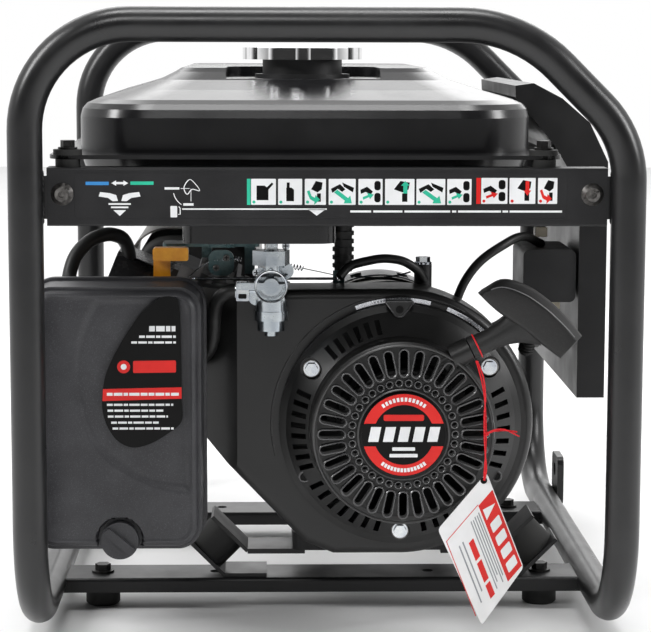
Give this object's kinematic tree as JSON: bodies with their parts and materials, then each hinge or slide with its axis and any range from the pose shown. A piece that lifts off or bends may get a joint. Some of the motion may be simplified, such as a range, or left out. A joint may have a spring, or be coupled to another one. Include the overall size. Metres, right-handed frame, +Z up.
{
  "type": "portable generator",
  "caption": "Open-frame portable petrol generator: bent-tube frame carrying tank, air-cooled engine with recoil starter, alternator and side control panel.",
  "frame": {"origin": "on the ground under the middle of the tube frame", "axes": "+X towards the control panel side, +Y from the recoil starter end to the alternator end, +Z up"},
  "size_m": [0.4712, 0.5954, 0.477],
  "materials": {
    "tube_paint": "satin black powder coat",
    "sheet_paint": "satin black paint",
    "panel_paint": "textured black powder coat",
    "tank_paint": "gloss black paint",
    "rubber": "moulded rubber",
    "hose_rubber": "smooth rubber",
    "bright_steel": "blackened steel, worn bright",
    "black_steel": "black oxide",
    "zinc": "bright zinc plate",
    "zinc_casting": "blue-tinted zinc casting",
    "chrome": "polished chrome",
    "black_plastic": "moulded",
    "shroud_plastic": "satin black paint",
    "grey_plastic": "fine-grained",
    "grip_plastic": "fine-grained",
    "reel_plastic": "moulded",
    "box_plastic": "satin",
    "face_plate": "printed sheet",
    "lid_plastic": "moulded",
    "red_plastic": "moulded",
    "white_plastic": "moulded",
    "amber_plastic": "moulded",
    "engine_casting": "black painted casting",
    "bare_casting": "sand-blasted casting",
    "rocker_paint": "black enamel",
    "plated_steel": "dark teal plate",
    "machined_steel": "machined",
    "cast_iron": "cast",
    "laminations": "varnished laminations",
    "heat_paint": "heat-resistant black",
    "shield_steel": "perforated steel",
    "card": "coated card",
    "red_string": "waxed string"
  },
  "bodies": {
    "frame": {"air_base": "black_plastic", "alternator_adapter": "bare_casting", "alternator_bell": "bare_casting", "alternator_cover": "black_plastic", "black_fasteners": "black_steel", "carburettor": "bare_casting", "control_box": "box_plastic", "control_face": "face_plate", "cylinder_head": "bare_casting", "engine_block": "engine_casting", "fan_shroud": "shroud_plastic", "filler_neck": "black_plastic", "front_crossmember": "sheet_paint", "front_hoop": "tube_paint", "front_panel": "panel_paint", "fuel_tap": "zinc_casting", "ignition_lead": "hose_rubber", "mount_brackets": "sheet_paint", "muffler": "heat_paint", "muffler_shield": "shield_steel", "panel_bolts": "bright_steel", "panel_fittings": "black_plastic", "rear_crossmember": "sheet_paint", "rear_hoop": "tube_paint", "rear_panel": "panel_paint", "recoil_case": "shroud_plastic", "regulator_block": "black_plastic", "rocker_cover": "rocker_paint", "rubber_feet": "rubber", "rubber_hoses": "hose_rubber", "sediment_bowl": "zinc_casting", "stator": "laminations", "tank_isolators": "rubber", "tank_lower": "tank_paint", "tank_upper": "tank_paint", "throttle_bracket": "plated_steel", "vibration_mounts": "rubber", "voltmeter": "black_plastic", "zinc_fasteners": "zinc"},
    "engine_shaft": {"crankshaft": "machined_steel", "flywheel": "cast_iron", "cooling_fan": "black_plastic", "rotor": "cast_iron"},
    "recoil_reel": {"recoil_reel": "reel_plastic"},
    "starter_handle": {"starter_handle": "grip_plastic"},
    "hang_tag": {"hang_tag": "card", "tag_string": "red_string"},
    "choke_lever": {"choke_lever": "amber_plastic"},
    "tap_lever": {"tap_lever": "zinc_casting"},
    "cap_core": {"cap_core": "black_plastic"},
    "fuel_cap": {"fuel_cap": "chrome"},
    "air_cover": {"air_cover": "grey_plastic"},
    "cover_knob": {"cover_knob": "grey_plastic"},
    "engine_switch": {"engine_switch": "red_plastic"},
    "breaker_button": {"breaker_button": "white_plastic"},
    "socket_lid_front": {"socket_lid_front": "lid_plastic"},
    "socket_lid_rear": {"socket_lid_rear": "lid_plastic"},
    "governor_arm": {"governor_arm": "plated_steel"},
    "governor_rod": {"governor_rod": "zinc"},
    "oil_cap": {"oil_cap": "reel_plastic"}
  },
  "joints": [
    {"name": "engine_turn", "type": "hinge", "parent": "frame", "child": "engine_shaft", "pos_m": [0.0575, 0, 0.162], "axis": [0, 1, 0], "continuous": true},
    {"name": "starter_pull", "type": "slide", "parent": "frame", "child": "starter_handle", "axis": [0.8988, 0, 0.4384], "range_m": [0, 0.6], "stiffness_N_per_m": 15, "springref_m": -0.6},
    {"name": "reel_spin", "type": "hinge", "parent": "frame", "child": "recoil_reel", "pos_m": [0.0575, 0, 0.162], "axis": [0, 1, 0], "range_deg": [0, 900]},
    {"name": "tag_swing", "type": "hinge", "parent": "starter_handle", "child": "hang_tag", "pos_m": [0.111, -0.2544, 0.2175], "axis": [0, 1, 0], "range_deg": [-20, 20]},
    {"name": "choke", "type": "hinge", "parent": "frame", "child": "choke_lever", "pos_m": [-0.1245, -0.19, 0.264], "axis": [0, 1, 0], "range_deg": [0, 35]},
    {"name": "fuel_tap_turn", "type": "hinge", "parent": "frame", "child": "tap_lever", "pos_m": [-0.041, -0.232, 0.271], "axis": [0, 1, 0], "range_deg": [-90, 0]},
    {"name": "cap_lift", "type": "slide", "parent": "frame", "child": "cap_core", "axis": [0, 0, 1], "range_m": [0, 0.06]},
    {"name": "cap_turn", "type": "hinge", "parent": "cap_core", "child": "fuel_cap", "pos_m": [-0.0165, -0.135, 0.438], "axis": [0, 0, 1], "range_deg": [0, 90]},
    {"name": "cover_pull", "type": "slide", "parent": "frame", "child": "air_cover", "axis": [0, -1, 0], "range_m": [0, 0.014]},
    {"name": "knob_turn", "type": "hinge", "parent": "air_cover", "child": "cover_knob", "pos_m": [-0.154, -0.255, 0.082], "axis": [0, -1, 0], "range_deg": [0, 720]},
    {"name": "switch_rock", "type": "hinge", "parent": "frame", "child": "engine_switch", "pos_m": [0.2185, 0.066, 0.3], "axis": [0, 1, 0], "range_deg": [0, 18]},
    {"name": "breaker_press", "type": "slide", "parent": "frame", "child": "breaker_button", "axis": [-1, 0, 0], "range_m": [0, 0.003], "stiffness_N_per_m": 300, "springref_m": -0.002},
    {"name": "lid_front_open", "type": "hinge", "parent": "frame", "child": "socket_lid_front", "pos_m": [0.2261, -0.062, 0.259], "axis": [0, -1, 0], "range_deg": [0, 110], "stiffness_Nm_per_rad": 0.004, "springref_deg": -28.65},
    {"name": "lid_rear_open", "type": "hinge", "parent": "frame", "child": "socket_lid_rear", "pos_m": [0.2261, 0, 0.259], "axis": [0, -1, 0], "range_deg": [0, 110], "stiffness_Nm_per_rad": 0.004, "springref_deg": -28.65},
    {"name": "governor_swing", "type": "hinge", "parent": "frame", "child": "governor_arm", "pos_m": [0.012, -0.152, 0.214], "axis": [0, 1, 0], "range_deg": [-5, 5], "stiffness_Nm_per_rad": 0.05},
    {"name": "governor_rod_slide", "type": "slide", "parent": "frame", "child": "governor_rod", "axis": [1, 0, 0], "range_m": [-0.006, 0.006]},
    {"name": "oil_cap_turn", "type": "hinge", "parent": "frame", "child": "oil_cap", "pos_m": [0.134, -0.1, 0.104], "axis": [0.9397, 0, 0.3419], "range_deg": [0, 360]}
  ],
  "couplings": [
    {"joint": "reel_spin", "follows": "starter_pull", "rad_per_m": 25.641},
    {"joint": "governor_rod_slide", "follows": "governor_swing", "m_per_rad": 0.054}
  ]
}
